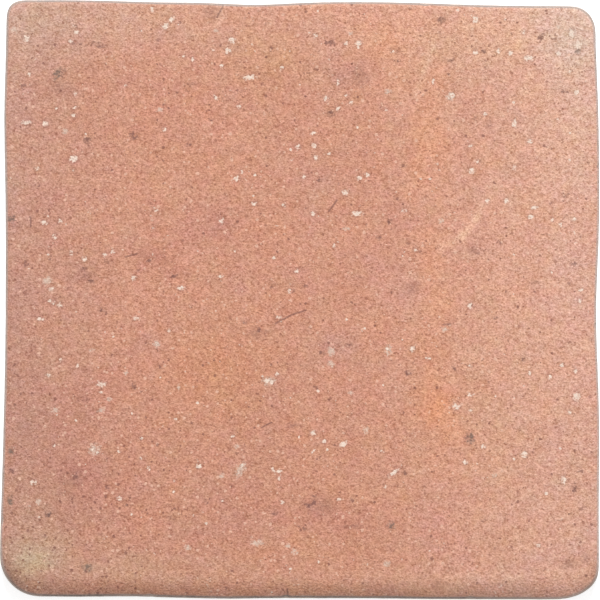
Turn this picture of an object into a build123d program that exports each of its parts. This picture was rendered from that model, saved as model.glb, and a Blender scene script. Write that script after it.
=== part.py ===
from build123d import *

import math
import os
from collections import namedtuple

# A square porcelain floor tile with the look of old fired clay, pressed as one piece.
# It lies on its back at z = 0 with the face up, and the origin is the centre of the back.
# The four sides are wavy and each corner has its own rounding. The face ends in a tight
# rounded edge on three sides, and slopes down in a wide arc to the fourth, the bottom side.
# The back carries the grid of shallow pockets that the adhesive grips.

# Driving dimensions, in millimetres
SIZE = 200.0  # nominal side, which is also the overall width and depth
THICKNESS = 9.0  # from the ribs of the back to the flat of the face
HALF = SIZE / 2

# Corners: the way out along X and Y, the angle where the arc starts, how far the corner's
# two sides lie inside the nominal square, and its two radii, along X and along Y
Corner = namedtuple("Corner", "way_x way_y start_angle inset_x inset_y radius_x radius_y")
CORNER_SWEEP = 90
TOP_LEFT = Corner(-1, 1, 90, 2.2, 0.05, 5.1, 4.2)
TOP_RIGHT = Corner(1, 1, 0, 1.3, 2.05, 7.8, 8.3)
BOTTOM_RIGHT = Corner(1, -1, 270, 0.15, 0.05, 14.2, 9.8)
BOTTOM_LEFT = Corner(-1, -1, 180, 0.0, 1.0, 13.2, 13.4)

# Waves of the sides between the corners: place along the side, inset from the square
TOP_WAVES = [
    (-75, 0.06), (-60, 0.4), (-45, 0.8), (-32, 0.95), (-16, 1.6),
    (0, 1.0), (20, 0.65), (38, 0.95), (56, 1.6), (74, 1.95),
]
RIGHT_WAVES = [
    (72, 0.7), (58, 0.25), (46, 0.1), (30, 0.05), (17, 0.38), (5, 0.9),
    (-8, 1.1), (-20, 0.7), (-34, 0.2), (-50, 0.05), (-68, 0.22),
]
BOTTOM_WAVES = [
    (60, 0.08), (42, 0.16), (25, 0.38), (0, 0.42), (-13, 0.4), (-23, 0.24),
    (-36, 0.48), (-44, 0.64), (-51, 0.92), (-62, 1.0), (-74, 0.9),
]
LEFT_WAVES = [
    (-72, 0.33), (-58, 0.8), (-44, 1.15), (-28, 1.6),
    (0, 1.93), (24, 1.97), (42, 1.75), (62, 1.47), (76, 1.8),
]

# Edges of the face: the tight one, and the slope of the bottom side with its own edge
TIGHT_RADIUS = 1.2
SLOPE_WIDTH = 7.3
SLOPE_ANGLE = math.radians(35)  # where the slope ends, below the horizontal
SLOPE_EDGE_RADIUS = 1.5
SLOPE_SPANS = 7  # cross-sections up the slope and round its edge
SLOPE_EDGE_SPANS = 4
CORNER_GROWTH = 0.4  # corner radius gained for each millimetre that the outline moves in

# Side wall, from the back up: pressed chamfer, upright die wall, drafted upper wall
BACK_CHAMFER = 0.9
DIE_WALL_TOP = 2.6
UPPER_WALL_DRAFT = 0.35

# Shape of the slope that follows: its arc meets the edge's arc without a kink
SLOPE_EDGE_INSET = SLOPE_EDGE_RADIUS * (1 - math.sin(SLOPE_ANGLE))
SLOPE_RADIUS = (SLOPE_WIDTH - SLOPE_EDGE_INSET) / math.sin(SLOPE_ANGLE)
SLOPE_FOOT = THICKNESS - SLOPE_RADIUS * (1 - math.cos(SLOPE_ANGLE))
WALL_TOP = SLOPE_FOOT - SLOPE_EDGE_RADIUS * math.cos(SLOPE_ANGLE)

# Grip of the back: a grid of square pockets between flat ribs
POCKETS_A_SIDE = 8
POCKET_PITCH = 22.0
POCKET_MOUTH = 18.0
POCKET_CORNER = 2.2  # clipped off each corner
POCKET_DEPTH = 0.6
POCKET_DRAFT = 45.0  # slope of the pocket walls, degrees off vertical


def corner_arc(corner, z, in_x, in_y):
    """Quarter of the ellipse of one corner, its sides moved in by in_x and in_y."""
    growth = CORNER_GROWTH * (in_x + in_y) / 2
    radius_x = corner.radius_x + growth
    radius_y = corner.radius_y + growth
    centre_x = corner.way_x * (HALF - corner.inset_x - in_x - radius_x)
    centre_y = corner.way_y * (HALF - corner.inset_y - in_y - radius_y)
    centre = (centre_x, centre_y, z)
    return EllipticalCenterArc(
        centre, radius_x, radius_y, corner.start_angle, arc_size=CORNER_SWEEP
    )


def side_curve(start_arc, waves, end_arc, direction):
    """Wavy side that leaves one corner arc and meets the next one without a kink."""
    return Spline(start_arc @ 0, *waves, end_arc @ 1, tangents=[direction, direction])


def outline(z, inset, bottom_inset=None):
    """Closed outline at height z, its sides moved in, the bottom one by an amount of its own."""
    bottom = inset if bottom_inset is None else bottom_inset

    top_left = corner_arc(TOP_LEFT, z, inset, inset)
    top_right = corner_arc(TOP_RIGHT, z, inset, inset)
    bottom_right = corner_arc(BOTTOM_RIGHT, z, inset, bottom)
    bottom_left = corner_arc(BOTTOM_LEFT, z, inset, bottom)

    top_line = [(along, HALF - wave - inset, z) for along, wave in TOP_WAVES]
    right_line = [(HALF - wave - inset, along, z) for along, wave in RIGHT_WAVES]
    bottom_line = [(along, wave + bottom - HALF, z) for along, wave in BOTTOM_WAVES]
    left_line = [(wave + inset - HALF, along, z) for along, wave in LEFT_WAVES]

    curves = [
        side_curve(top_left, top_line, top_right, (1, 0, 0)),
        top_right,
        side_curve(top_right, right_line, bottom_right, (0, -1, 0)),
        bottom_right,
        side_curve(bottom_right, bottom_line, bottom_left, (-1, 0, 0)),
        bottom_left,
        side_curve(bottom_left, left_line, top_left, (0, 1, 0)),
        top_left,
    ]
    return Wire([curve.edge() for curve in curves])


def side_walls():
    """Lower body: pressed chamfer, upright die wall, and the drafted wall above it."""
    back = outline(0, BACK_CHAMFER)
    die_bottom = outline(BACK_CHAMFER, 0)
    die_top = outline(DIE_WALL_TOP, 0)
    wall_top = outline(WALL_TOP, UPPER_WALL_DRAFT)
    return Solid.make_loft([back, die_bottom, die_top, wall_top], ruled=True)


def tight_inset(z):
    """How far in the tight edge lies at height z: a quarter circle below the face."""
    rise = max(z - THICKNESS + TIGHT_RADIUS, 0)
    return TIGHT_RADIUS - math.sqrt(TIGHT_RADIUS**2 - rise**2)


def slope_profile():
    """Height and inset of the bottom side's cross-section, from the wall up to the face."""
    profile = []
    for step in range(SLOPE_EDGE_SPANS):
        turn = (math.pi / 2 - SLOPE_ANGLE) * step / SLOPE_EDGE_SPANS
        height = WALL_TOP + SLOPE_EDGE_RADIUS * math.sin(turn)
        profile.append((height, SLOPE_EDGE_RADIUS * (1 - math.cos(turn))))
    for step in range(SLOPE_SPANS + 1):
        angle = SLOPE_ANGLE * (1 - step / SLOPE_SPANS)
        height = THICKNESS - SLOPE_RADIUS * (1 - math.cos(angle))
        profile.append((height, SLOPE_WIDTH - SLOPE_RADIUS * math.sin(angle)))
    return profile


def face_body():
    """Upper body, from the top of the wall through its two kinds of edge up to the face."""
    sections = [
        outline(z, UPPER_WALL_DRAFT + tight_inset(z), UPPER_WALL_DRAFT + slope_inset)
        for z, slope_inset in slope_profile()
    ]
    return Solid.make_loft(sections, ruled=False)


def back_pockets():
    """Grid of shallow pockets with clipped corners and sloping walls, open at z = 0."""
    square = Rectangle(POCKET_MOUTH, POCKET_MOUTH)
    mouth = chamfer(square.vertices(), POCKET_CORNER)
    pocket = extrude(mouth, POCKET_DEPTH, taper=POCKET_DRAFT)
    grid = GridLocations(POCKET_PITCH, POCKET_PITCH, POCKETS_A_SIDE, POCKETS_A_SIDE)
    return [place * pocket for place in grid]


body = side_walls() + face_body()
porcelain_tile = body - back_pockets()

box = porcelain_tile.bounding_box()
print("overall size", box.size, "centre", box.center())

os.makedirs("parts", exist_ok=True)
export_step(porcelain_tile, "parts/porcelain_tile.step")
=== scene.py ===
import math
from collections import namedtuple

import bpy
import numpy as np
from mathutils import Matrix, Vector, noise
from mathutils.bvhtree import BVHTree
from mathutils.kdtree import KDTree


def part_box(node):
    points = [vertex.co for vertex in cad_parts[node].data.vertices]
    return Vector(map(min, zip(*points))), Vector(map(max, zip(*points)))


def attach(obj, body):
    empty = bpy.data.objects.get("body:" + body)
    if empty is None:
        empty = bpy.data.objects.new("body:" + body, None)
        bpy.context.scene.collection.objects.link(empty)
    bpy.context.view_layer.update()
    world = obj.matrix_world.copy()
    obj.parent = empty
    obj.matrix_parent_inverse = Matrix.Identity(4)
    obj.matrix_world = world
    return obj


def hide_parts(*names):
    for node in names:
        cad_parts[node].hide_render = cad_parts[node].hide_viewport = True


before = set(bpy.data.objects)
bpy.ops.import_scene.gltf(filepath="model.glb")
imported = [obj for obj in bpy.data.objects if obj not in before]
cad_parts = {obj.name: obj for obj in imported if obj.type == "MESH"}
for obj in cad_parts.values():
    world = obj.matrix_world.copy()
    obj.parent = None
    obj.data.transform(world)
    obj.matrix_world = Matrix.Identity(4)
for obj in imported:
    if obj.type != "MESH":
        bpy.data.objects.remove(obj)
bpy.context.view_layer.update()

# A porcelain tile with the look of old fired clay, seen from straight above.
# Lengths are in metres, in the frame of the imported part: face up, back on z = 0.

MM = 0.001
NODE = "porcelain_tile"
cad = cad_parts[NODE]
low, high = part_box(NODE)
HALF = (high.x - low.x) / 2
FACE_Z = high.z

# Heights where the side changes: chamfer, die wall, drafted wall, rounded edge
BACK_RELIEF_TOP = 0.75 * MM  # above the pocket floors and below the chamfer's top
CHAMFER_TOP = 0.9 * MM
DIE_WALL_TOP = 2.6 * MM
EDGE_FOOT = 5.6 * MM
JUST_BELOW = 0.0001 * MM  # how far under the face its outline is read
MERGE_STEP = 0.001 * MM  # points of the back that are closer than this are one point

# Mesh density: cells along each side of the face, and strips up the wall and round the edge
FACE_CELLS = 272
WALL_STRIPS = 3
EDGE_STRIPS = 12
EDGE_RING = 2 + WALL_STRIPS  # number of the ring at the edge's foot
FAN_INSET = 16 * MM  # the corner fans of stations open this far inside both sides
FAN_LENGTH = 11 * MM  # length given to half a corner when the stations are spread out
FAN_TURN = math.radians(45)  # turn of the rays over half a corner
OUTLINE_SMOOTHING = 6  # rounds of evening out each ring
OUTLINE_STEPS = 8  # parts of each cell's edge when distances to the outline are taken
GRID_SMOOTHING = 150  # rounds of evening out the face's grid

# The photograph: its frame, and where the tile's edges lie in it, in pixels
PHOTO_SIZE = 600
TILE_LEFT = -0.2
TILE_RIGHT = 599.6
TILE_TOP = -0.2
PIXEL = 2 * HALF / (TILE_RIGHT - TILE_LEFT)

CAMERA_HEIGHT = 2.5  # above the top of the die wall, where the tile is widest
SENSOR = 36.0  # millimetres

SRGB_OFFSET, SRGB_POWER = 0.055, 2.4  # curve of screen brightness


def from_photo(x, y):
    """Place on the tile of a pixel of the photograph."""
    return (x - TILE_LEFT) * PIXEL - HALF, HALF - (y - TILE_TOP) * PIXEL


def to_photo(points):
    """Pixel of the photograph, across and down, where each point lies."""
    x = (points[:, 0] + HALF) / PIXEL + TILE_LEFT
    y = (HALF - points[:, 1]) / PIXEL + TILE_TOP
    return x, y


def linear(screen):
    """Linear light of screen colours from 0 to 255."""
    share = np.clip(np.asarray(screen, float) / 255, 0, 1)
    return ((share + SRGB_OFFSET) / (1 + SRGB_OFFSET)) ** SRGB_POWER


def srgb(red, green, blue):
    """Linear colour, with its alpha, of an 8-bit screen colour."""
    return (*linear((red, green, blue)), 1.0)


# Marks read from the photograph, in its pixels: x, y, width, height, turn in degrees.
# First the pale flecks.
PALE_FLECKS = [
    (153, 10, 5, 5, 0), (172, 20, 8, 4, 45), (166, 27, 6, 6, 0), (77, 33, 5, 4, 0), (27, 39, 6, 6, 0),
    (71, 42, 4, 4, 0), (184, 57, 3, 3, 0), (193, 60, 4, 4, 0), (30, 75, 4, 4, 0), (76, 94, 4, 4, 0),
    (126, 86, 3, 3, 0), (76, 108, 6, 3, 0), (74, 116, 5, 4, 0), (57, 109, 3, 3, 0), (46, 124, 5, 6, 0),
    (27, 123, 10, 4, 0), (165, 130, 4, 4, 0), (74, 159, 8, 6, 0), (38, 169, 5, 4, 0),
    (74, 170, 3, 3, 0), (232, 41, 6, 6, 0), (228, 51, 6, 6, 0), (213, 50, 4, 3, 0), (222, 67, 4, 4, 0),
    (250, 78, 12, 5, 0), (282, 68, 4, 5, 0), (216, 98, 7, 3, 125), (239, 107, 4, 4, 0),
    (315, 36, 4, 5, 0), (346, 44, 4, 4, 0), (313, 134, 6, 4, 0), (314, 146, 6, 5, 0),
    (298, 147, 5, 5, 0), (316, 158, 5, 5, 0), (329, 154, 4, 3, 0), (237, 179, 6, 5, 0),
    (242, 172, 3, 4, 0), (255, 175, 4, 3, 0), (304, 177, 4, 4, 0), (357, 127, 3, 4, 0),
    (359, 178, 5, 5, 0), (367, 175, 6, 4, 0), (345, 193, 7, 5, 0), (358, 45, 6, 7, 0),
    (338, 83, 3, 7, 0), (326, 99, 5, 6, 0), (338, 109, 5, 5, 0), (346, 96, 3, 3, 0),
    (351, 103, 4, 4, 0), (393, 52, 6, 3, 0), (386, 110, 3, 3, 0), (475, 20, 6, 6, 0),
    (523, 33, 4, 4, 0), (558, 54, 5, 4, 0), (475, 53, 5, 5, 0), (528, 59, 9, 5, 0), (510, 54, 4, 6, 0),
    (498, 52, 4, 5, 0), (577, 45, 7, 7, 0), (569, 72, 4, 3, 0), (433, 82, 3, 6, 0), (485, 114, 5, 4, 0),
    (514, 124, 5, 8, 0), (529, 142, 5, 5, 0), (470, 146, 4, 3, 0), (478, 162, 4, 4, 0),
    (471, 171, 7, 5, 0), (514, 168, 4, 5, 0), (576, 93, 6, 4, 45), (557, 120, 3, 3, 0),
    (45, 223, 7, 4, 0), (55, 237, 5, 5, 0), (61, 221, 4, 5, 0), (105, 255, 5, 4, 0),
    (113, 252, 4, 4, 0), (156, 210, 4, 6, 30), (154, 227, 3, 4, 0), (72, 253, 3, 5, 0),
    (85, 259, 5, 5, 0), (52, 289, 6, 4, 0), (50, 301, 4, 3, 0), (54, 303, 3, 4, 0), (60, 305, 5, 5, 0),
    (41, 319, 8, 3, 0), (134, 278, 5, 5, 0), (181, 288, 8, 4, 0), (136, 318, 6, 4, 0),
    (169, 331, 3, 5, 0), (61, 360, 3, 5, 0), (78, 366, 3, 5, 0), (49, 375, 6, 4, -20),
    (102, 384, 8, 5, 0), (101, 392, 4, 3, 0), (254, 204, 6, 4, 0), (284, 205, 4, 5, 0),
    (313, 214, 5, 5, 0), (357, 214, 11, 5, 0), (222, 221, 4, 7, 0), (334, 246, 3, 5, 0),
    (274, 258, 4, 4, 0), (221, 276, 5, 4, 0), (297, 271, 5, 4, 0), (290, 291, 5, 4, 0),
    (279, 317, 6, 3, 0), (241, 345, 4, 3, 0), (277, 374, 4, 4, 0), (267, 380, 6, 5, 0),
    (272, 382, 4, 5, 0), (404, 211, 6, 3, 0), (487, 201, 4, 5, 0), (506, 201, 5, 5, 0),
    (534, 208, 8, 3, 0), (530, 217, 5, 5, 0), (573, 219, 5, 4, 0), (551, 220, 3, 5, 0),
    (560, 225, 3, 5, 0), (415, 250, 4, 4, 0), (470, 306, 5, 5, 0), (580, 290, 6, 3, 0),
    (579, 301, 4, 4, 0), (412, 349, 5, 6, 0), (428, 358, 7, 3, 0), (470, 366, 4, 3, 0),
    (529, 373, 3, 5, 0), (549, 377, 4, 5, 0), (561, 365, 4, 4, 0), (575, 371, 4, 5, 0),
    (576, 396, 6, 9, 0), (469, 395, 5, 4, 0), (569, 412, 4, 4, 0), (34, 482, 6, 5, 0),
    (55, 445, 4, 3, 0), (119, 451, 4, 3, 0), (149, 468, 3, 5, 0), (120, 498, 5, 4, 0),
    (176, 419, 4, 3, 0), (141, 438, 5, 3, 0), (175, 480, 3, 3, 0), (174, 491, 3, 3, 0),
    (199, 466, 6, 5, 0), (243, 465, 5, 4, 60), (239, 472, 4, 3, 60), (313, 433, 6, 5, 0),
    (324, 441, 5, 4, 0), (343, 444, 8, 5, 30), (313, 451, 7, 2, 50), (233, 436, 4, 3, 0),
    (279, 471, 6, 4, 0), (279, 478, 4, 4, 0), (273, 469, 3, 5, 0), (382, 451, 4, 3, 0),
    (394, 472, 11, 4, 30), (282, 502, 5, 4, 0), (222, 500, 4, 3, 0), (339, 499, 4, 4, 0),
    (385, 486, 4, 3, 0), (456, 406, 7, 6, 0), (470, 410, 4, 3, 0), (483, 446, 4, 5, 0),
    (524, 454, 7, 6, 0), (465, 462, 5, 4, -30), (563, 480, 4, 9, 0), (546, 493, 4, 4, 0),
    (538, 545, 5, 3, 0), (500, 585, 4, 4, 0), (93, 448, 4, 4, 0), (98, 452, 3, 3, 0),
    (452, 96, 4, 5, 0), (449, 99, 3, 3, 0), (387, 348, 3, 4, 0), (571, 34, 5, 8, 0),
    (157, 343, 3, 3, 0),
]
# Flecks of a duller, ashen colour
ASH_FLECKS = [
    (269, 381, 13, 8, 0), (241, 469, 16, 7, 60), (15, 31, 7, 6, 0), (48, 281, 9, 8, 0),
    (157, 344, 7, 7, 0), (93, 350, 7, 3, 0), (126, 372, 5, 5, 0), (109, 399, 7, 4, 0),
    (179, 387, 3, 7, 0), (95, 449, 11, 10, 0), (56, 410, 7, 5, 0), (102, 410, 8, 5, 0),
    (39, 501, 6, 6, 0), (188, 547, 6, 6, 0), (331, 351, 7, 9, 0), (331, 364, 6, 7, 0),
    (388, 350, 7, 9, 0), (346, 229, 7, 4, 0), (388, 92, 8, 5, 0), (350, 34, 5, 4, 0),
    (450, 97, 8, 8, 0), (571, 34, 7, 9, 0), (559, 28, 7, 4, 0), (237, 446, 6, 4, 0),
    (366, 430, 6, 7, 0), (222, 476, 5, 6, 0), (257, 542, 12, 6, 0), (288, 545, 5, 5, 0),
    (295, 551, 7, 6, 0), (386, 563, 7, 6, 0), (494, 475, 6, 5, 0), (350, 393, 7, 4, 0),
    (441, 221, 6, 5, 0), (444, 329, 8, 4, 0), (216, 31, 5, 4, 0), (160, 110, 8, 4, 0),
    (66, 132, 6, 6, 0),
]
# Dark brown marks
DARK_MARKS = [
    (24, 87, 6, 6, 0), (53, 48, 4, 4, 0), (73, 44, 4, 3, 0), (81, 45, 4, 3, 0), (88, 46, 5, 3, 0),
    (93, 44, 3, 4, 0), (101, 46, 8, 5, 0), (158, 43, 3, 4, 0), (83, 96, 3, 3, 0), (178, 94, 3, 4, 0),
    (88, 140, 7, 7, 45), (132, 135, 5, 7, 0), (136, 138, 8, 4, 20), (189, 145, 6, 3, 0),
    (39, 187, 3, 4, 0), (211, 120, 6, 3, 0), (331, 114, 7, 6, 0), (319, 180, 5, 4, 0),
    (339, 184, 3, 3, 0), (262, 85, 5, 4, 0), (272, 50, 7, 4, 0), (330, 43, 9, 6, 0), (397, 62, 7, 5, 0),
    (441, 21, 7, 7, 45), (540, 39, 5, 6, 0), (543, 36, 4, 4, 0), (483, 52, 5, 4, 0),
    (451, 61, 9, 3, 20), (564, 92, 9, 4, -15), (404, 166, 5, 4, 0), (545, 146, 7, 3, 0),
    (85, 269, 6, 4, 0), (91, 281, 8, 4, -15), (27, 264, 5, 6, 0), (51, 258, 4, 5, 0),
    (175, 276, 8, 5, 0), (139, 271, 4, 3, 0), (149, 261, 7, 3, 0), (102, 310, 7, 4, 0),
    (134, 386, 5, 6, 0), (142, 392, 4, 3, 0), (160, 367, 4, 4, 0), (389, 222, 4, 7, 0),
    (379, 238, 6, 4, 0), (306, 285, 7, 4, 0), (301, 269, 4, 5, 0), (272, 287, 4, 3, 0),
    (259, 330, 5, 5, 0), (245, 323, 4, 3, 0), (309, 328, 5, 4, 0), (322, 352, 6, 5, 0),
    (349, 345, 6, 4, 0), (316, 387, 5, 4, 0), (499, 243, 6, 4, 0), (573, 264, 6, 5, 0),
    (565, 196, 7, 3, 30), (551, 203, 6, 3, 0), (495, 318, 4, 3, 0), (447, 324, 8, 3, 0),
    (407, 373, 7, 5, 0), (454, 368, 8, 3, -45), (523, 360, 4, 4, 0), (108, 487, 5, 5, 0),
    (76, 475, 5, 5, 0), (49, 514, 7, 5, 0), (126, 505, 4, 4, 0), (12, 471, 5, 5, 0),
    (307, 505, 8, 4, -20), (313, 503, 7, 5, 45), (314, 497, 5, 5, 0), (319, 458, 7, 3, 30),
    (302, 527, 9, 4, -20), (275, 513, 7, 3, 0), (207, 502, 4, 3, 0), (352, 500, 4, 4, 0),
    (574, 488, 5, 12, -10), (580, 471, 6, 3, 0), (404, 473, 5, 5, 0), (483, 520, 4, 3, 0),
]
# Dark smudges that are greyer
GREY_SMUDGES = [
    (59, 74, 12, 7, 45), (577, 52, 5, 4, 0), (88, 567, 8, 7, 0), (49, 514, 6, 5, 0),
    (470, 438, 7, 10, 0), (12, 451, 5, 7, 0), (11, 500, 5, 8, 0), (391, 525, 7, 7, 0),
    (12, 219, 7, 7, 0),
]
# Soft smudges of a darker brown
BROWN_SMUDGES = [
    (359, 76, 13, 20, 0), (473, 249, 10, 6, 20), (413, 288, 13, 10, 0), (79, 398, 12, 6, 0),
    (292, 425, 14, 4, 0), (568, 563, 16, 11, 0), (584, 558, 9, 9, 0), (438, 583, 11, 8, 0),
    (212, 12, 12, 16, 0), (350, 526, 22, 4, 0), (534, 283, 9, 5, 0), (60, 88, 16, 12, 0),
    (489, 124, 5, 9, 0), (322, 506, 20, 12, 0), (88, 275, 12, 8, 0), (76, 478, 14, 12, 0),
    (258, 333, 14, 10, 0), (190, 85, 12, 4, 0),
]
FULL_MARK_AREA = 60  # square pixels from which a mark shows at full strength
FAINTEST_MARK = 0.92  # strength of the smallest marks
FIELD_REACH = 3.0  # a mark's field fades out this many half-widths from its middle
MARKS_FADE = (0.1, 0.4)  # upward part of the normal where marks begin, and where they are whole
MARK_SOFTNESS = 0.5  # pixels by which a mark's soft edge goes past the size read
# Dark hairlines, from one end to the other
HAIRLINES = [
    ((276, 323), (289, 316)), ((289, 316), (306, 310)), ((337, 200), (329, 211)),
    ((126, 257), (137, 254)), ((31, 217), (31, 227)), ((223, 7), (217, 18)), ((262, 427), (272, 422)),
    ((287, 589), (288, 596)),
]
HAIRLINE_WIDTH = 0.45  # in millimetres
# Faint rubbed strokes, the last of them a painted highlight along the top of the bottom slope: their ends,
# half width, and change of red, green and blue
RUBBED_STROKES_AND_HIGHLIGHT = [
    ((434, 46), (414, 97), 3.5, (6, 11, 10)), ((489, 197), (475, 220), 4, (12, 16, 11)),
    ((475, 220), (461, 237), 4, (15, 19, 15)), ((461, 237), (439, 248), 4, (14, 18, 15)),
    ((222, 8), (219, 25), 4, (10, 14, 14)), ((70, 577), (520, 577), 5, (3, 5, 5)),
]
# Colour of the middle of the face, and its change towards each side, partly the tile's own tone and partly
# painted light: paler towards the top and the right, where the key light comes from, and darker towards
# the bottom and the left. Each change: where it is still nothing, where it is full, and the full change of
# red, green and blue
FACE_COLOUR = (209, 149, 124)
TONE_AND_LIGHT_TO_RIGHT = (340, 575, (12, 18, 21))
TONE_AND_LIGHT_TO_LEFT = (150, 20, (-8, -2, 2))
TONE_AND_LIGHT_TO_TOP = (90, 10, (5, 10, 11))
TONE_AND_LIGHT_TO_BOTTOM = (290, 560, (-7, -5, -4))
# Soft patches of another tone: x, y, radius across and down, and the change of colour
TONE_PATCHES = [
    (34, 558, 24, 22, (3, 21, 14)), (15, 575, 18, 18, (-9, -2, -3)), (22, 22, 45, 40, (0, 7, 7)),
    (574, 35, 36, 42, (-1, 13, 17)), (578, 110, 34, 60, (5, 9, 10)), (268, 62, 36, 22, (-1, 0, -6)),
    (385, 42, 38, 26, (10, 6, 0)), (429, 130, 15, 60, (7, 2, -4)), (434, 275, 14, 50, (5, 0, -6)),
    (440, 398, 15, 42, (10, 0, -9)), (215, 370, 52, 44, (1, -2, -8)), (90, 480, 40, 32, (-7, -10, -7)),
    (270, 505, 90, 36, (-2, -3, -1)), (205, 226, 30, 18, (-8, -9, -3)), (388, 285, 34, 26, (0, 0, 4)),
    (155, 265, 20, 13, (-13, -16, -10)), (330, 352, 20, 16, (-4, 0, 6)),
    (86, 272, 18, 12, (-8, -7, -3)), (348, 68, 20, 16, (-5, -4, 1)), (500, 400, 70, 130, (-1, -1, -4)),
    (310, 190, 20, 38, (-2, 0, 3)), (405, 222, 14, 11, (-4, -5, 0)), (340, 520, 36, 16, (-4, -7, -4)),
    (290, 547, 60, 12, (3, 2, -1)), (440, 520, 34, 28, (1, -2, 2)), (150, 345, 18, 15, (-3, -1, 4)),
    (130, 566, 80, 14, (-1, 7, 5)), (340, 586, 120, 14, (6, 7, 5)), (470, 586, 50, 12, (2, 4, 3)),
    (16, 370, 26, 90, (-7, -5, -3)), (14, 200, 14, 90, (-1, 3, 4)), (400, 78, 120, 44, (2, 4, 4)),
    (410, 490, 120, 60, (4, 3, 1)), (540, 130, 60, 110, (1, 2, 0)), (22, 105, 24, 60, (2, 4, 5)),
    (36, 518, 34, 32, (0, 5, 3)), (350, 12, 120, 14, (5, 2, 1)), (46, 573, 14, 9, (2, 11, 5)),
    (60, 415, 36, 28, (-3, -5, -3)), (420, 172, 26, 26, (4, 3, 2)), (577, 240, 22, 80, (0, 3, 5)),
    (130, 25, 90, 26, (1, 4, 4)), (222, 62, 24, 22, (1, 2, 3)), (490, 30, 60, 30, (3, 3, -2)),
    (12, 582, 20, 15, (-7, -11, -10)), (574, 585, 20, 13, (10, 8, 6)),
]
PATCH_WARP, PATCH_WARP_SPAN = 22, 13 * MM  # patches are pushed out of shape by up to half this in pixels
# Painted shade: a dark line along the foot of the bottom slope, the side turned away from the key light:
# x, strength, from left to right
BOTTOM_SHADE_LINE = [
    (0, 0.5), (30, 0.6), (48, 1.0), (105, 1.0), (120, 0.6), (160, 0.7), (185, 0.9), (240, 0.7), (262, 0.9),
    (470, 0.85), (490, 0.6), (525, 0.5), (560, 0.15), (600, 0.0),
]
BOTTOM_SHADE_ROWS = (564, 591)  # rows between which the line comes up to its strength
BOTTOM_SHADE_TOP, BOTTOM_SHADE_FULL = 0.62, 0.1  # millimetres in from the edge's foot
BOTTOM_SHADE_RUN = 2.5  # and down the side wall
# The rim's painted light and shade: the left, right and bottom rims, which the key light leaves in shade,
# are lifted with painted light, and the top rim, which faces the key light, is darkened with painted
# shade.
RIM_REACH = 2.2  # millimetres in from the edge's foot over which the rim is a shade of its own
RIM_SIDE_PAINTED_LIGHT = (0.22, 0.33, 0.41)  # added share of red, green and blue, on all rims but the top
RIM_TOP_PAINTED_SHADE = (-0.37, -0.24, -0.16)  # and on the top one
TOP_CORNER_RIM = 0.6  # of the side tint taken off at the upper corners, where the rim is brown
BOTTOM_CORNER_RIM = 1.3  # the same at the lower corners
TOP_TINT_LOSS = 0.35  # share of the top tint that the corners do without
# Small bites out of the edge: x, y and width
EDGE_NICKS = [(425, 5, 8), (286, 596, 8), (2, 520, 10), (150, 597, 9), (470, 600, 9)]

# Relief of the fired surface: how deep each kind goes, and how far apart its bumps are
SWELL_DEPTH, SWELL_SPAN = 0.12 * MM, 42 * MM
LUMP_DEPTH, LUMP_SPAN = 0.04 * MM, 3.2 * MM
SAND_DEPTH, SAND_SPAN = 0.05 * MM, 1.7 * MM
EDGE_DEPTH, EDGE_SPAN = 0.3 * MM, 8 * MM
NICK_DEPTH, NICK_REACH = 0.45 * MM, 1.3  # the reach in half-widths
PIT_COUNT, PIT_SEED = 420, 2024
PIT_RADIUS = (0.7 * MM, 1.3 * MM)
PIT_DEPTH = (0.05 * MM, 0.16 * MM)
DARK_MARK_DEPTH = 0.14 * MM
PALE_FLECK_DEPTH = 0.05 * MM
NOISE_GAIN = 0.7  # spread of the noise about a half
NOISE_STEP = (17.3, -9.1, 5.7)  # from one seed's part of the noise to the next
SWELL_SEED, LUMP_SEED, EDGE_SEED, SAND_SEED, WARP_X_SEED, WARP_Y_SEED = range(1, 7)


def side_stations():
    """Start and outward direction of each horizontal ray along the side that faces -Y."""
    reach = HALF - FAN_INSET
    rays = []
    for index in range(FACE_CELLS):
        along = (2 * index / FACE_CELLS - 1) * (reach + FAN_LENGTH)
        start = max(-reach, min(reach, along))
        angle = FAN_TURN * (along - start) / FAN_LENGTH
        rays.append((start, -reach, math.sin(angle), -math.cos(angle)))
    return rays


def all_stations():
    """The rays of all four sides, one side after another, anticlockwise from the lower left."""
    rays = side_stations()
    turned = list(rays)
    for _ in range(3):
        rays = [(-y, x, -out_y, out_x) for x, y, out_x, out_y in rays]
        turned += rays
    return turned


def side_rings():
    """Closed rings of points from the top of the chamfer up to the flat of the face."""
    tree = BVHTree.FromObject(cad, bpy.context.evaluated_depsgraph_get())
    stations = all_stations()
    heights = [CHAMFER_TOP, (CHAMFER_TOP + DIE_WALL_TOP) / 2]
    heights += [DIE_WALL_TOP + k / WALL_STRIPS * (EDGE_FOOT - DIE_WALL_TOP) for k in range(WALL_STRIPS)]
    turns = [math.radians(90) * k / EDGE_STRIPS for k in range(EDGE_STRIPS + 1)]
    heights += [EDGE_FOOT + (FACE_Z - EDGE_FOOT) * math.sin(turn) for turn in turns]

    rings = []
    for height in heights:
        cut = min(max(height, CHAMFER_TOP + JUST_BELOW), FACE_Z - JUST_BELOW)
        hits = [
            tree.ray_cast(Vector((x, y, cut)), Vector((out_x, out_y, 0)))[0]
            for x, y, out_x, out_y in stations
        ]
        ring = np.array([(hit.x, hit.y, height) for hit in hits])
        for _ in range(OUTLINE_SMOOTHING):
            ring = (np.roll(ring, 1, axis=0) + 2 * ring + np.roll(ring, -1, axis=0)) / 4
        rings.append(ring)
    return rings


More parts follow.
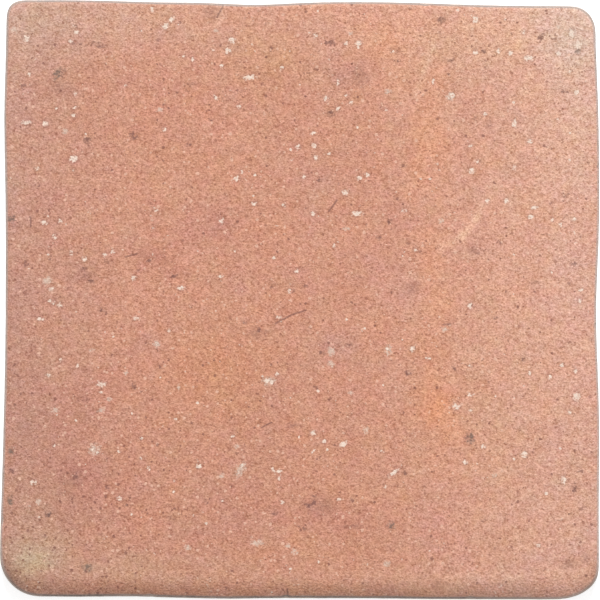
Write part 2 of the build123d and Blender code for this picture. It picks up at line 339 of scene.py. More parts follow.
def face_grid(ring):
    """Square grid of points that fills the top ring, blended in from its sides and evened out."""
    n = FACE_CELLS
    u = np.linspace(0, 1, n + 1)[:, None, None]
    v = np.linspace(0, 1, n + 1)[None, :, None]
    closed = np.vstack([ring, ring[:1]])
    bottom = closed[:n + 1][:, None]
    right = closed[n:2 * n + 1][None, :]
    top = closed[2 * n:3 * n + 1][::-1][:, None]
    left = closed[3 * n:4 * n + 1][::-1][None, :]
    corners = (
        (1 - u) * (1 - v) * ring[0] + u * (1 - v) * ring[n]
        + u * v * ring[2 * n] + (1 - u) * v * ring[3 * n]
    )
    grid = (1 - v) * bottom + v * top + (1 - u) * left + u * right - corners
    for _ in range(GRID_SMOOTHING):
        grid[1:-1, 1:-1] = (grid[:-2, 1:-1] + grid[2:, 1:-1] + grid[1:-1, :-2] + grid[1:-1, 2:]) / 4
    return grid


def back_faces():
    """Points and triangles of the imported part's own back: ribs, pocket walls and pocket floors."""
    mesh = cad.data
    mesh.calc_loop_triangles()
    points = np.array([vertex.co for vertex in mesh.vertices])
    triangles = np.array([triangle.vertices for triangle in mesh.loop_triangles])
    triangles = triangles[points[triangles][:, :, 2].max(axis=1) < BACK_RELIEF_TOP]
    rounded = np.round(points / MERGE_STEP).astype(np.int64)
    used = np.unique(triangles)
    _, first, merged = np.unique(rounded[used], axis=0, return_index=True, return_inverse=True)
    index = np.zeros(len(points), np.int64)
    index[used] = merged.ravel()
    return points[used][first], index[triangles]


def boundary_loop(triangles):
    """The open edge of a sheet of triangles, as one closed run of point numbers."""
    edges = {(int(a), int(b)) for tri in triangles for a, b in zip(tri, np.roll(tri, -1))}
    following = {b: a for a, b in edges if (b, a) not in edges}
    loop = [min(following)]
    while following[loop[-1]] != loop[0]:
        loop.append(following[loop[-1]])
    return loop


def zip_loops(points, lower, upper):
    """Triangles between two loops round the same middle, taken in turn by their angle."""
    def ordered(loop):
        angles = np.arctan2(points[loop][:, 1], points[loop][:, 0])
        order = np.argsort(angles)
        return [loop[k] for k in order], [*angles[order], angles[order[0]] + 2 * math.pi]
    lower, lower_angles = ordered(lower)
    upper, upper_angles = ordered(upper)
    a = b = 0
    made = []
    while a < len(lower) or b < len(upper):
        here, there = lower[a % len(lower)], upper[b % len(upper)]
        if b == len(upper) or (a < len(lower) and lower_angles[a + 1] <= upper_angles[b + 1]):
            a += 1
            made.append((here, lower[a % len(lower)], there))
        else:
            b += 1
            made.append((here, upper[b % len(upper)], there))
    return made


def mark_field(points, marks):
    """How deep each point lies in the marks: 1 in a large one's middle, fading to 0 outside."""
    field = np.zeros(len(points))
    for x, y, width, height, turn in marks:
        strength = min(1, FAINTEST_MARK + (1 - FAINTEST_MARK) * width * height / FULL_MARK_AREA)
        centre_x, centre_y = from_photo(x, y)
        heading = math.radians(turn)
        dx, dy = points[:, 0] - centre_x, points[:, 1] - centre_y
        along = dx * math.cos(heading) + dy * math.sin(heading)
        across = dy * math.cos(heading) - dx * math.sin(heading)
        half_width = (width + MARK_SOFTNESS) / 2 * PIXEL
        half_height = (height + MARK_SOFTNESS) / 2 * PIXEL
        away = np.hypot(along / half_width, across / half_height)
        np.maximum(field, strength * (1 - away / FIELD_REACH), out=field)
    return field


def ramp(values, start, end):
    """0 at the start and 1 at the end, with a soft change between."""
    share = np.clip((values - start) / (end - start), 0, 1)
    return share * share * (3 - 2 * share)


def tone_and_light_of(points):
    """Linear base colour of the face at each point: slow drifts that are partly painted light from the top
    right, soft patches, rubbed strokes and a painted highlight.
    """
    x, y = to_photo(points)
    tone_and_light = np.tile(np.array(FACE_COLOUR, float), (len(points), 1))
    for along, drift in ((x, TONE_AND_LIGHT_TO_RIGHT), (x, TONE_AND_LIGHT_TO_LEFT), (y, TONE_AND_LIGHT_TO_TOP), (y, TONE_AND_LIGHT_TO_BOTTOM)):
        start, end, change = drift
        tone_and_light += ramp(along, start, end)[:, None] * change
    warped_x = x + PATCH_WARP * (rolling_noise(points, PATCH_WARP_SPAN, WARP_X_SEED) - 0.5)
    warped_y = y + PATCH_WARP * (rolling_noise(points, PATCH_WARP_SPAN, WARP_Y_SEED) - 0.5)
    for centre_x, centre_y, width, height, change in TONE_PATCHES:
        away = ((warped_x - centre_x) / width) ** 2 + ((warped_y - centre_y) / height) ** 2
        tone_and_light += np.exp(-away)[:, None] * change
    place = np.column_stack([x, y])
    # rubbed strokes, the last one a painted highlight along the top of the bottom slope
    for start, end, width, change in RUBBED_STROKES_AND_HIGHLIGHT:
        run = np.subtract(end, start)
        share = np.clip((place - start) @ run / (run @ run), 0, 1)
        away = np.linalg.norm(place - start - share[:, None] * run, axis=1) / width
        tone_and_light += np.exp(-away * away)[:, None] * change
    return linear(tone_and_light)


def edge_distance(points, foot_ring):
    """Millimetres inward from the foot of the edge; below the foot, millimetres down, as a minus."""
    outline = np.concatenate([
        foot_ring + share * (np.roll(foot_ring, -1, axis=0) - foot_ring)
        for share in np.arange(OUTLINE_STEPS) / OUTLINE_STEPS
    ])
    tree = KDTree(len(outline))
    for index, (x, y, _) in enumerate(outline):
        tree.insert((x, y, 0), index)
    tree.balance()
    inward = np.array([tree.find((x, y, 0))[2] for x, y, _ in points])
    down = points[:, 2] - EDGE_FOOT
    return np.where(down < 0, down, inward) / MM


def bottom_shade_of(points, distance):
    """Strength of the painted shade at the foot of the bottom slope."""
    x, y = to_photo(points)
    strength = np.interp(x, *zip(*BOTTOM_SHADE_LINE)) * ramp(y, *BOTTOM_SHADE_ROWS)
    above = ramp(distance, BOTTOM_SHADE_TOP, BOTTOM_SHADE_FULL)
    return strength * above * ramp(distance, -BOTTOM_SHADE_RUN, 0)


def rolling_noise(points, span, seed):
    """Smooth noise from 0 to 1 at each point, with bumps about one span apart."""
    shift = Vector([seed * step for step in NOISE_STEP])
    values = [noise.noise(Vector(point) / span + shift) for point in points]
    return np.clip(0.5 + NOISE_GAIN * np.array(values), 0, 1)


def pit_depths(points):
    """Small random pits, scattered over the face and the sides."""
    draw = np.random.default_rng(PIT_SEED)
    depth = np.zeros(len(points))
    for centre in points[draw.integers(0, len(points), PIT_COUNT)]:
        radius, deepest = draw.uniform(*PIT_RADIUS), draw.uniform(*PIT_DEPTH)
        away = np.linalg.norm(points - centre, axis=1) / radius
        depth = np.maximum(depth, deepest * np.clip(1 - away * away, 0, 1))
    return depth


def relief_depth(points, upward, dark, pale):
    """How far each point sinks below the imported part's own surface."""
    rounding = 4 * upward * (1 - upward)  # 1 partway round the edge, 0 on the face and the wall
    depth = SWELL_DEPTH * rolling_noise(points, SWELL_SPAN, SWELL_SEED) * upward
    depth += LUMP_DEPTH * rolling_noise(points, LUMP_SPAN, LUMP_SEED)
    depth += SAND_DEPTH * rolling_noise(points, SAND_SPAN, SAND_SEED)
    depth += EDGE_DEPTH * rolling_noise(points, EDGE_SPAN, EDGE_SEED) * rounding
    depth += pit_depths(points) + DARK_MARK_DEPTH * dark + PALE_FLECK_DEPTH * pale
    for x, y, width in EDGE_NICKS:
        away = np.linalg.norm(points[:, :2] - from_photo(x, y), axis=1) / (width / 2 * PIXEL)
        high_up = np.clip((points[:, 2] - CHAMFER_TOP) / (EDGE_FOOT - CHAMFER_TOP), 0, 1)
        depth += NICK_DEPTH * np.clip(NICK_REACH - away, 0, 1) * high_up
    return depth


def painted_rim_light_and_shade(normals, distance):
    """Strength of the rim's two tints: painted light on the sides and the bottom, which the key light
    leaves in shade, and painted shade on the top one, which faces the key light.
    """
    rim = ramp(distance, RIM_REACH, 0)
    sideways, topward = normals[:, 0], normals[:, 1]
    turn = (2 * sideways * topward) ** 2  # 1 where a corner faces halfway between two sides
    corner = turn * np.where(topward < 0, BOTTOM_CORNER_RIM, TOP_CORNER_RIM)
    side = rim * ((sideways ** 2 + np.clip(-topward, 0, 1)) * (1 - turn) - corner)
    top = rim * np.clip(topward, 0, 1) * (1 - TOP_TINT_LOSS * turn)
    return side, top


def add_colour_layer(mesh, name, values):
    """Stores four arrays, one number for each point of the mesh, as one colour layer."""
    layer = mesh.attributes.new(name, "FLOAT_COLOR", "POINT")
    layer.data.foreach_set("color", np.column_stack(values).ravel())


def face_numbers(top):
    """Point numbers of the face's grid, whose border is the top ring that starts at number top."""
    n = FACE_CELLS
    index = np.zeros((n + 1, n + 1), int)
    index[1:-1, 1:-1] = top + 4 * n + np.arange((n - 1) ** 2).reshape(n - 1, n - 1)
    index[:, 0] = top + np.arange(n + 1)
    index[n, :] = top + n + np.arange(n + 1)
    index[::-1, n] = top + 2 * n + np.arange(n + 1)
    index[0, ::-1] = top + (3 * n + np.arange(n + 1)) % (4 * n)
    return index


def tile_faces(points, back_triangles, first_ring, ring_count):
    """Faces of the closed surface: the back, its chamfer, the strips of the sides, and the face."""
    around = 4 * FACE_CELLS
    faces = back_triangles.tolist()
    chamfer_top = list(range(first_ring, first_ring + around))
    faces += zip_loops(points, boundary_loop(back_triangles), chamfer_top)
    here = np.arange(around)
    after = np.roll(here, -1)
    for level in range(ring_count - 1):
        base = first_ring + level * around
        faces += (base + np.column_stack([here, after, around + after, around + here])).tolist()
    index = face_numbers(first_ring + (ring_count - 1) * around)
    cells = [index[:-1, :-1], index[1:, :-1], index[1:, 1:], index[:-1, 1:]]
    return faces + np.column_stack([corner.ravel() for corner in cells]).tolist()


def build_tile():
    """The tile as one closed mesh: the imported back, its chamfer, the sides, the edge and the face."""
    back_points, back_triangles = back_faces()
    rings = side_rings()
    grid = face_grid(rings[-1])
    points = np.vstack([back_points, *rings, grid[1:-1, 1:-1].reshape(-1, 3)])
    first_ring = len(back_points)

    mesh = bpy.data.meshes.new("fired_tile")
    mesh.from_pydata(points.tolist(), [], tile_faces(points, back_triangles, first_ring, len(rings)))
    normals = np.array([vertex.normal for vertex in mesh.vertices])
    upward = np.clip(normals[:, 2], 0, 1)
    on_face = ramp(upward, *MARKS_FADE)
    pale, dark, grey, ash, brown = (
        mark_field(points, marks) * on_face
        for marks in (PALE_FLECKS, DARK_MARKS, GREY_SMUDGES, ASH_FLECKS, BROWN_SMUDGES)
    )
    sunk = relief_depth(points, upward, dark, pale)
    sunk[:first_ring] = 0
    mesh.vertices.foreach_set("co", (points - normals * sunk[:, None]).ravel())

    distance = edge_distance(points, rings[EDGE_RING])
    add_colour_layer(mesh, "marks", [pale, dark, grey, distance])
    # the stains layer also holds the strengths of the rim's painted light and painted shade
    add_colour_layer(mesh, "stains_and_rim_light", [ash, brown, *painted_rim_light_and_shade(normals, distance)])
    # the tone layer: the face's colour with its painted light from the top right, and in the alpha the
    # strength of the painted shade at the foot of the bottom slope
    add_colour_layer(mesh, "tone_and_light", [*tone_and_light_of(points).T, bottom_shade_of(points, distance)])
    smooth = np.arange(len(mesh.polygons)) >= len(back_triangles)
    mesh.polygons.foreach_set("use_smooth", smooth)
    mesh.update()

    tile = bpy.data.objects.new("fired_tile", mesh)
    bpy.context.collection.objects.link(tile)
    return tile


def node(tree, kind, inputs=None, **settings):
    """Adds a shader node; each input is a value, or the output that it is linked from."""
    made = tree.nodes.new(kind)
    for name, value in settings.items():
        setattr(made, name, value)
    for name, value in (inputs or {}).items():
        if isinstance(value, bpy.types.NodeSocket):
            tree.links.new(value, made.inputs[name])
        else:
            made.inputs[name].default_value = value
    return made


def number(tree, operation, first, second=0.0, third=0.0):
    """Result of one step of arithmetic on numbers."""
    inputs = {0: first, 1: second, 2: third}
    return node(tree, "ShaderNodeMath", inputs, operation=operation).outputs[0]


def vector(tree, operation, first, second=(0, 0, 0)):
    """Result of one step of arithmetic on vectors or colours."""
    inputs = {0: first, 1: second}
    return node(tree, "ShaderNodeVectorMath", inputs, operation=operation).outputs["Vector"]


def scaled(tree, value, factor):
    """A vector times a number."""
    inputs = {0: value, "Scale": factor}
    return node(tree, "ShaderNodeVectorMath", inputs, operation="SCALE").outputs["Vector"]


def vector_number(tree, operation, first, second):
    """The one number that a distance or a dot product gives."""
    inputs = {0: first, 1: second}
    return node(tree, "ShaderNodeVectorMath", inputs, operation=operation).outputs["Value"]


MIX_SHARE, MIX_FIRST, MIX_SECOND, MIX_RESULT = 0, 6, 7, 2  # the mix node's sockets for colours


def mix_colour(tree, share, first, second):
    """The first colour, with that share of the second."""
    inputs = {MIX_SHARE: share, MIX_FIRST: first, MIX_SECOND: second}
    return node(tree, "ShaderNodeMix", inputs, data_type="RGBA").outputs[MIX_RESULT]


def smooth_step(tree, value, start, end):
    """0 before start and 1 past end, with a soft change between."""
    inputs = {"Value": value, "From Min": start, "From Max": end}
    return node(tree, "ShaderNodeMapRange", inputs, interpolation_type="SMOOTHSTEP").outputs["Result"]


def noise_of(tree, place, span, detail=0.0, roughness=0.5, distortion=0.0):
    """Noise from 0 to 1 whose bumps are about one span, in millimetres, apart."""
    inputs = {
        "Vector": place, "Scale": 1 / span, "Detail": detail, "Roughness": roughness,
        "Distortion": distortion,
    }
    return node(tree, "ShaderNodeTexNoise", inputs).outputs[0]


def moved(tree, place, shift):
    """The same place in another part of the noise."""
    return vector(tree, "ADD", place, shift)


def centred(tree, value, gain):
    """Noise about zero: the gain times how far the value is from a half."""
    return number(tree, "MULTIPLY", number(tree, "SUBTRACT", value, 0.5), gain)


def tinted(tree, colour, amount, weights):
    """The colour times one plus the amount in each channel's weight."""
    return vector(tree, "MULTIPLY", colour, vector(tree, "ADD", scaled(tree, weights, amount), (1, 1, 1)))


def laid_over(tree, colour, mask, opacity, paint):
    """The colour with paint over it where the mask is, at most as strong as the opacity."""
    return mix_colour(tree, number(tree, "MULTIPLY", mask, opacity), colour, paint)


def colour_layer(tree, name):
    """The four numbers that one of the mesh's colour layers holds."""
    layer = node(tree, "ShaderNodeVertexColor", layer_name=name)
    parts = node(tree, "ShaderNodeSeparateColor", {"Color": layer.outputs["Color"]})
    return [*parts.outputs, layer.outputs["Alpha"]]


PALE_COLOUR = srgb(246, 224, 207)
LIGHT_COLOUR = srgb(240, 194, 170)
DARK_COLOUR = srgb(118, 78, 72)
BROWN_COLOUR = srgb(148, 92, 74)
CRUMB_COLOUR = srgb(130, 82, 70)
GREY_COLOUR = srgb(114, 98, 88)
SMUDGE_COLOUR = srgb(150, 106, 94)
ASH_COLOUR = srgb(226, 200, 182)
RIM_COLOUR = srgb(188, 165, 154)
# colour of the painted shade at the foot of the bottom slope
BOTTOM_SHADE_COLOUR = srgb(84, 76, 74)
BODY_COLOUR = srgb(182, 160, 146)
KILN_WASH_COLOUR = srgb(214, 206, 198)

# In the material a length is in millimetres, unless it is given with MM.

# Slow changes of a colour: what each adds to red, green and blue, times the noise about zero
Drift = namedtuple("Drift", "span detail roughness shift gain weights")
FACE_DRIFTS = (
    Drift(22, 2, 0.5, (0, 0, 0), 5, (0.015, 0.02, 0.02)),
    Drift(5.5, 3, 0.5, (0, 0, 0), 5, (0.012, 0.016, 0.018)),
    Drift(8, 3, 0.75, (40, 7, 3), 7, (0.014, -0.022, -0.03)),
    Drift(8, 3, 0.75, (9, 60, 2), 8, (-0.004, -0.012, 0.03)),
    Drift(3.6, 0, 0.5, (2, 5, 8), 2.5, (0.012, -0.018, -0.02)),
    Drift(3.0, 1, 0.5, (6, 1, 3), 5, (-0.003, -0.008, 0.024)),
)
BODY_DRIFTS = (
    Drift(0.8, 2, 0.5, (0, 0, 0), 5, (0.05, 0.05, 0.05)),
    Drift(9, 2, 0.5, (0, 0, 0), 5, (0.03, 0.03, 0.03)),
)

# Sandy grain, coarse to fine: span, distortion and strength
GRAINS = ((1.9, 0.3, 0.8), (1.05, 0.3, 2.9), (0.66, 0.2, 5.5), (0.42, 0.0, 5.2))
GRAIN_STEP = (5, 9, 1)  # from one grain's part of the noise to the next
GRAIN_WEIGHTS = (0.105, 0.142, 0.164)  # a lighter grain is paler too, a darker one redder

# Paint on one kind of mark: where in the mark's field it starts and is full, its opacity, what
# the patches add to that, and its colour
Paint = namedtuple("Paint", "start full opacity patchy colour")
SMUDGE_PAINT = Paint(0.3, 1.2, 0.5, 0, SMUDGE_COLOUR)
GREY_PAINT = Paint(0.45, 0.95, 0.8, 0, GREY_COLOUR)
DARK_PAINT = Paint(0.5, 0.95, 0.75, 0, DARK_COLOUR)
ASH_PAINT = Paint(0.55, 0.85, 0.1, 0.7, ASH_COLOUR)
PALE_PAINT = Paint(0.6, 0.8, 0.46, 0.5, PALE_COLOUR)
RIM_PAINT = Paint(0.9, 0.1, 0.75, 0, RIM_COLOUR)  # from the distance to the edge's foot
HAIRLINE_OPACITY = 0.6
# opacity of the painted shade at the foot of the bottom slope
BOTTOM_SHADE_OPACITY = 0.85
# Painted shadow: a thin dark ring round each pale fleck
RING_START, RING_PEAK, RING_END = 0.44, 0.56, 0.7  # thin dark ring round each pale fleck
RING_OPACITY = 0.22
RAGGED = (0.8, 1, 1.0)  # noise that frays the marks: span, detail and gain
BROKEN = (0.9, 2, 1.6)  # and the stronger one that breaks up the dark, grey and brown ones
PATCHES_SPAN, PATCHES_SHIFT = 0.9, (4, 4, 4)  # patches of thick paint in pale and ashen flecks
PATCHES_START, PATCHES_FULL = 0.3, 0.5
HAIRLINE_WAVE_SPAN, HAIRLINE_WAVE = 3, 1.2
HAIRLINE_CORE = 0.3  # share of the hairline's width that is fully dark

# Small ragged crumbs all over the face
Crumb = namedtuple("Crumb", "span level opacity shift colour")
CRUMBS = (
    Crumb(1.35, 0.735, 0.5, (3, 29, 8), CRUMB_COLOUR),
    Crumb(1.15, 0.765, 0.6, (21, 7, 12), PALE_COLOUR),
)
CROWDING_SPAN, CROWDING = 9, 0.45  # crumbs crowd together: over so many spans, and how much
CRUMB_DISTORTION = 0.5
CRUMB_SOFTNESS = 0.08

# Small ragged specks: at most one in a cell one span across, in that share of the cells
Speck = namedtuple("Speck", "span share radius opacity shift colour")
FACE_SPECKS = (
    Speck(2.2, 0.28, 0.62, 0.7, (3, 8, 1), LIGHT_COLOUR),
    Speck(1.6, 0.28, 0.45, 0.7, (8, 3, 5), LIGHT_COLOUR),
    Speck(3.1, 0.09, 0.55, 0.85, (6, 2, 7), PALE_COLOUR),
    Speck(2.4, 0.22, 0.6, 0.55, (4, 1, 9), BROWN_COLOUR),
    Speck(1.3, 0.24, 0.4, 0.6, (2, 7, 4), BROWN_COLOUR),
)
DARK_SPECKS = Speck(1.9, 0.09, 0.58, 0.72, (9, 4, 2), CRUMB_COLOUR)
SPECK_CROWD, CROWD_REACH = 0.7, 95  # share that dark specks gain at the lower left corner
BODY_SPECKS = (
    Speck(1.9, 0.25, 0.35, 0.6, (7, 1, 4), DARK_COLOUR),
    Speck(2.3, 0.2, 0.4, 0.5, (1, 9, 6), PALE_COLOUR),
)
SPECK_WARP_SPAN, SPECK_WARP = 1.1, 0.75  # specks are pushed out of round by up to half the warp
SPECK_SMALLEST, SPECK_SPREAD = 0.4, 0.8  # least size and what chance adds, as shares of the radius
SPECK_CORE = 0.55  # share of a speck's size that is fully covered

# Kiln wash on the ribs of the back
WASH_SPAN, WASH_ROUGHNESS = 6, 0.65
WASH_START, WASH_FULL = 0.42, 0.6
WASH_TOP, WASH_WHOLE = 0.12, 0.04  # heights where it ends, and below which it is whole
WASH_OPACITY = 0.75

# The face's colour spills raggedly over the side wall
SPILL_SPAN, SPILL = 2.2, 3.0
FACED_START, FACED_FULL = -0.5, 0.1

ROUGHNESS_SPAN, LEAST_ROUGHNESS, ROUGHNESS_SPREAD = 3, 0.55, 0.3
BUMP_GAIN, BUMP_STRENGTH, BUMP_DEPTH = 0.25, 0.6, 0.17 * MM
SPECULAR_LEVEL, REFRACTIVE_INDEX = 0.35, 1.5


def drifted(tree, place, colour, drifts):
    """The colour, changed a little from place to place by each of the drifts."""
    for drift in drifts:
        there = moved(tree, place, drift.shift)
        value = noise_of(tree, there, drift.span, detail=drift.detail, roughness=drift.roughness)
        colour = tinted(tree, colour, centred(tree, value, drift.gain), drift.weights)
    return colour


def frayed(tree, place, span, detail, gain):
    """Noise about one, by which a mark's field is multiplied."""
    return number(tree, "ADD", centred(tree, noise_of(tree, place, span, detail=detail), gain), 1)


def painted(tree, colour, field, paint, patches):
    """The colour with the paint of one kind of mark over it."""
    mask = smooth_step(tree, field, paint.start, paint.full)
    opacity = number(tree, "MULTIPLY_ADD", patches, paint.patchy, paint.opacity)
    return laid_over(tree, colour, mask, opacity, paint.colour)


def speckled(tree, place, colour, kind, share=None):
    """The colour with one kind of speck over it; the share of the cells can be set apart."""
    wander = node(tree, "ShaderNodeTexNoise", {"Vector": place, "Scale": 1 / SPECK_WARP_SPAN, "Detail": 1})
    warp = scaled(tree, wander.outputs["Color"], SPECK_WARP)
    bent = vector(tree, "ADD", moved(tree, place, kind.shift), warp)
    cells = node(tree, "ShaderNodeTexVoronoi", {"Vector": bent, "Scale": 1 / kind.span}, feature="F1")
    pick = node(tree, "ShaderNodeSeparateColor", {"Color": cells.outputs["Color"]}).outputs
    chosen = number(tree, "LESS_THAN", pick[0], kind.share if share is None else share)
    radius = kind.radius / kind.span
    size = number(tree, "MULTIPLY_ADD", pick[1], SPECK_SPREAD * radius, SPECK_SMALLEST * radius)
    core = number(tree, "MULTIPLY", size, SPECK_CORE)
    inside = smooth_step(tree, cells.outputs["Distance"], size, core)
    mask = number(tree, "MULTIPLY", inside, chosen)
    return laid_over(tree, colour, mask, kind.opacity, kind.colour)


def crumbled(tree, place, colour, kind):
    """The colour with one kind of crumb over it: the higher the level, the fewer there are."""
    there = moved(tree, place, kind.shift)
    crowding = centred(tree, noise_of(tree, there, CROWDING_SPAN * kind.span, detail=1), CROWDING)
    bumps = noise_of(tree, there, kind.span, detail=1, distortion=CRUMB_DISTORTION)
    height = number(tree, "ADD", bumps, crowding)
    mask = smooth_step(tree, height, kind.level, kind.level + CRUMB_SOFTNESS)
    return laid_over(tree, colour, mask, kind.opacity, kind.colour)


def hairlines(tree, place):
    """Mask of thin dark lines, a little wavy, between the ends given in the photograph's pixels."""
    wave = centred(tree, noise_of(tree, place, HAIRLINE_WAVE_SPAN, detail=1), HAIRLINE_WAVE)
    wavy = vector(tree, "ADD", place, scaled(tree, (1, 1, 0), wave))
    flat = vector(tree, "MULTIPLY", wavy, (1, 1, 0))
    mask = 0.0
    for ends in HAIRLINES:
        start, end = (Vector((*from_photo(*point), 0)) / MM for point in ends)
        run = end - start
        from_start = vector(tree, "SUBTRACT", flat, tuple(start))
        dot = vector_number(tree, "DOT_PRODUCT", from_start, tuple(run))
        share = number(tree, "DIVIDE", dot, run.length_squared)
        share = node(tree, "ShaderNodeClamp", {"Value": share}).outputs[0]
        away = vector_number(tree, "DISTANCE", from_start, scaled(tree, tuple(run), share))
        line = smooth_step(tree, away, HAIRLINE_WIDTH, HAIRLINE_CORE * HAIRLINE_WIDTH)
        mask = number(tree, "MAXIMUM", line, mask)
    return mask


def sandy(tree, place, colour):
    """The colour with crumbs and specks all over it, the dark ones crowded at the lower left."""
    for kind in CRUMBS:
        colour = crumbled(tree, place, colour, kind)
    for kind in FACE_SPECKS:
        colour = speckled(tree, place, colour, kind)
    corner = (-HALF / MM, -HALF / MM, FACE_Z / MM)
    crowd = smooth_step(tree, vector_number(tree, "DISTANCE", place, corner), CROWD_REACH, 0)
    share = number(tree, "MULTIPLY_ADD", crowd, SPECK_CROWD, DARK_SPECKS.share)
    return speckled(tree, place, colour, DARK_SPECKS, share)


def face_colour(tree, place, marks, grain):
    """Fired clay colour: soft tones, sandy grain, marks, specks, the grey rim with its painted light and
    shade, and the painted shade at the foot of the bottom slope.
    """
    # the face's colour with its painted light from the top right; its alpha is the painted shade at the
    # foot of the bottom slope
    tone_and_light = node(tree, "ShaderNodeVertexColor", layer_name="tone_and_light").outputs
    colour = drifted(tree, place, tone_and_light["Color"], FACE_DRIFTS)
    colour = tinted(tree, colour, grain, GRAIN_WEIGHTS)

    ragged = frayed(tree, place, *RAGGED)
    broken = frayed(tree, place, *BROKEN)
    pale, dark, grey, distance = marks
    ash, brown, side, top = colour_layer(tree, "stains_and_rim_light")
    pale, ash = (number(tree, "MULTIPLY", field, ragged) for field in (pale, ash))
    dark, grey, brown = (number(tree, "MULTIPLY", field, broken) for field in (dark, grey, brown))
    thick = noise_of(tree, moved(tree, place, PATCHES_SHIFT), PATCHES_SPAN, detail=2)
    patches = smooth_step(tree, thick, PATCHES_START, PATCHES_FULL)

    colour = painted(tree, colour, brown, SMUDGE_PAINT, patches)
    colour = painted(tree, colour, grey, GREY_PAINT, patches)
    colour = painted(tree, colour, dark, DARK_PAINT, patches)
    colour = laid_over(tree, colour, hairlines(tree, place), HAIRLINE_OPACITY, DARK_COLOUR)
    colour = sandy(tree, place, colour)
    colour = painted(tree, colour, ash, ASH_PAINT, patches)
    # painted shadow: a thin dark ring round each pale fleck
    outer = smooth_step(tree, pale, RING_START, RING_PEAK)
    ring = number(tree, "SUBTRACT", outer, smooth_step(tree, pale, RING_PEAK, RING_END))
    colour = laid_over(tree, colour, ring, RING_OPACITY, DARK_COLOUR)
    colour = painted(tree, colour, pale, PALE_PAINT, patches)
    colour = painted(tree, colour, distance, RIM_PAINT, patches)
    # painted light on the rims the key light leaves in shade, and painted shade on the top rim that faces
    # it
    colour = tinted(tree, colour, side, RIM_SIDE_PAINTED_LIGHT)
    colour = tinted(tree, colour, top, RIM_TOP_PAINTED_SHADE)
    # painted shade: the dark line at the foot of the bottom slope
    bottom_shade = number(tree, "MULTIPLY", tone_and_light["Alpha"], ragged)
    return laid_over(tree, colour, bottom_shade, BOTTOM_SHADE_OPACITY, BOTTOM_SHADE_COLOUR)


def body_colour(tree, place, height):
    """Bare porcelain body of the sides and the back, with kiln wash on the ribs it stood on."""
    colour = drifted(tree, place, BODY_COLOUR[:3], BODY_DRIFTS)
    for kind in BODY_SPECKS:
        colour = speckled(tree, place, colour, kind)
    thin = noise_of(tree, place, WASH_SPAN, detail=3, roughness=WASH_ROUGHNESS)
    patchy = smooth_step(tree, thin, WASH_START, WASH_FULL)
    rubbed = number(tree, "MULTIPLY", smooth_step(tree, height, WASH_TOP, WASH_WHOLE), patchy)
    return laid_over(tree, colour, rubbed, WASH_OPACITY, KILN_WASH_COLOUR)


def sandy_grain(tree, place):
    """Sum of the grains about zero, for the colour and for the bump."""
    total = 0.0
    for index, (span, distortion, gain) in enumerate(GRAINS):
        there = moved(tree, place, tuple(index * step for step in GRAIN_STEP))
        sand = noise_of(tree, there, span, distortion=distortion)
        total = number(tree, "ADD", centred(tree, sand, gain), total)
    return total


def fired_clay():
    """Matt face on the top and the edge, running out raggedly over the bare body of the sides."""
    material = bpy.data.materials.new("fired_clay")
    material.use_nodes = True
    tree = material.node_tree
    tree.nodes.clear()

    place = scaled(tree, node(tree, "ShaderNodeTexCoord").outputs["Object"], 1 / MM)
    height = node(tree, "ShaderNodeSeparateXYZ", {"Vector": place}).outputs["Z"]
    marks = colour_layer(tree, "marks")
    distance = marks[-1]
    grain = sandy_grain(tree, place)

    spill = centred(tree, noise_of(tree, place, SPILL_SPAN, detail=2), SPILL)
    faced = smooth_step(tree, number(tree, "ADD", distance, spill), FACED_START, FACED_FULL)
    body = body_colour(tree, place, height)
    colour = mix_colour(tree, faced, body, face_colour(tree, place, marks, grain))

    uneven = noise_of(tree, place, ROUGHNESS_SPAN, detail=3)
    rough = number(tree, "MULTIPLY_ADD", uneven, ROUGHNESS_SPREAD, LEAST_ROUGHNESS)
    relief = number(tree, "MULTIPLY_ADD", grain, BUMP_GAIN, 0.5)
    bump = node(tree, "ShaderNodeBump", {
        "Height": relief, "Strength": BUMP_STRENGTH, "Distance": BUMP_DEPTH,
    })
    shader = node(tree, "ShaderNodeBsdfPrincipled", {
        "Base Color": colour, "Roughness": rough, "Normal": bump.outputs["Normal"],
        "Specular IOR Level": SPECULAR_LEVEL, "IOR": REFRACTIVE_INDEX,
    })
    node(tree, "ShaderNodeOutputMaterial", {"Surface": shader.outputs[0]})
    return material


def seen_directly(tree):
    """1 for rays from the camera and for what metal or glass would mirror or pass, else 0."""
    rays = node(tree, "ShaderNodeLightPath").outputs
    seen = number(tree, "MAXIMUM", rays["Is Camera Ray"], rays["Is Glossy Ray"])
    return number(tree, "MAXIMUM", seen, rays["Is Transmission Ray"])


FLOOR_REACH = 9.0
FLOOR_COLOUR = (0.8, 0.8, 0.8, 1)
FLOOR_LIFT = 0.66  # makes the lit floor white to the camera, and leaves the shadow grey


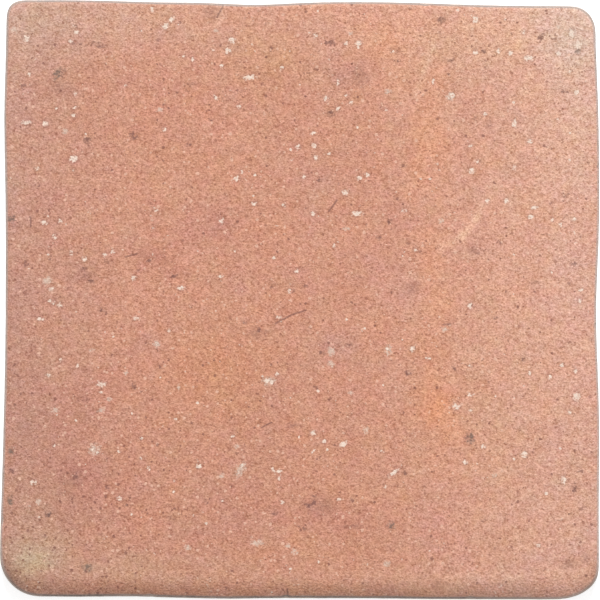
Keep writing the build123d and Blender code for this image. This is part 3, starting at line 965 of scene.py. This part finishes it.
def build_floor():
    """Plain pale floor that looks white but keeps the tile's shadow."""
    mesh = bpy.data.meshes.new("floor")
    corners = [(-1, -1), (1, -1), (1, 1), (-1, 1)]
    mesh.from_pydata([(FLOOR_REACH * x, FLOOR_REACH * y, 0) for x, y in corners], [], [(0, 1, 2, 3)])
    floor = bpy.data.objects.new("floor", mesh)
    bpy.context.collection.objects.link(floor)

    material = bpy.data.materials.new("pale_floor")
    material.use_nodes = True
    tree = material.node_tree
    tree.nodes.clear()
    matt = node(tree, "ShaderNodeBsdfDiffuse", {"Color": FLOOR_COLOUR})
    strength = number(tree, "MULTIPLY", seen_directly(tree), FLOOR_LIFT)
    lift = node(tree, "ShaderNodeEmission", {"Strength": strength})
    both = node(tree, "ShaderNodeAddShader", {0: matt.outputs[0], 1: lift.outputs[0]})
    node(tree, "ShaderNodeOutputMaterial", {"Surface": both.outputs[0]})
    mesh.materials.append(material)


FILL_LEVEL = 0.45  # share of the plain light level that comes from all round
KEY_ELEVATION = math.radians(40)
KEY_AZIMUTH = math.radians(4)  # the key light stands past the top side, a little to the right
KEY_SPREAD = math.radians(14)


def build_lights():
    """Soft fill from all round, and one soft key light from past the top side of the tile."""
    world = bpy.data.worlds.new("studio")
    bpy.context.scene.world = world
    world.use_nodes = True
    tree = world.node_tree
    tree.nodes.clear()
    level = number(tree, "MULTIPLY_ADD", seen_directly(tree), 1 - FILL_LEVEL, FILL_LEVEL)
    sky = node(tree, "ShaderNodeBackground", {"Color": (1, 1, 1, 1), "Strength": level})
    node(tree, "ShaderNodeOutputWorld", {"Surface": sky.outputs[0]})

    lamp = bpy.data.lights.new("key", "SUN")
    lamp.energy = (1 - FILL_LEVEL) * math.pi / math.sin(KEY_ELEVATION)
    lamp.angle = KEY_SPREAD
    key = bpy.data.objects.new("key", lamp)
    towards = Vector((
        math.sin(KEY_AZIMUTH) * math.cos(KEY_ELEVATION),
        math.cos(KEY_AZIMUTH) * math.cos(KEY_ELEVATION),
        math.sin(KEY_ELEVATION),
    ))
    key.rotation_euler = towards.to_track_quat("Z", "Y").to_euler()
    bpy.context.collection.objects.link(key)


def build_camera():
    """Camera straight above, framing the tile as the photograph does."""
    data = bpy.data.cameras.new("camera")
    data.sensor_width = SENSOR
    frame_width = PHOTO_SIZE * PIXEL
    data.lens = SENSOR * CAMERA_HEIGHT / frame_width
    data.clip_end = 4 * CAMERA_HEIGHT
    camera = bpy.data.objects.new("camera", data)
    centre_x, centre_y = from_photo(PHOTO_SIZE / 2, PHOTO_SIZE / 2)
    camera.location = (centre_x, centre_y, DIE_WALL_TOP + CAMERA_HEIGHT)
    bpy.context.collection.objects.link(camera)
    bpy.context.scene.camera = camera


tile = build_tile()
tile.data.materials.append(fired_clay())
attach(tile, "root")
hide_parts(NODE)

build_floor()
build_lights()
build_camera()
bpy.context.scene.view_settings.view_transform = "Standard"
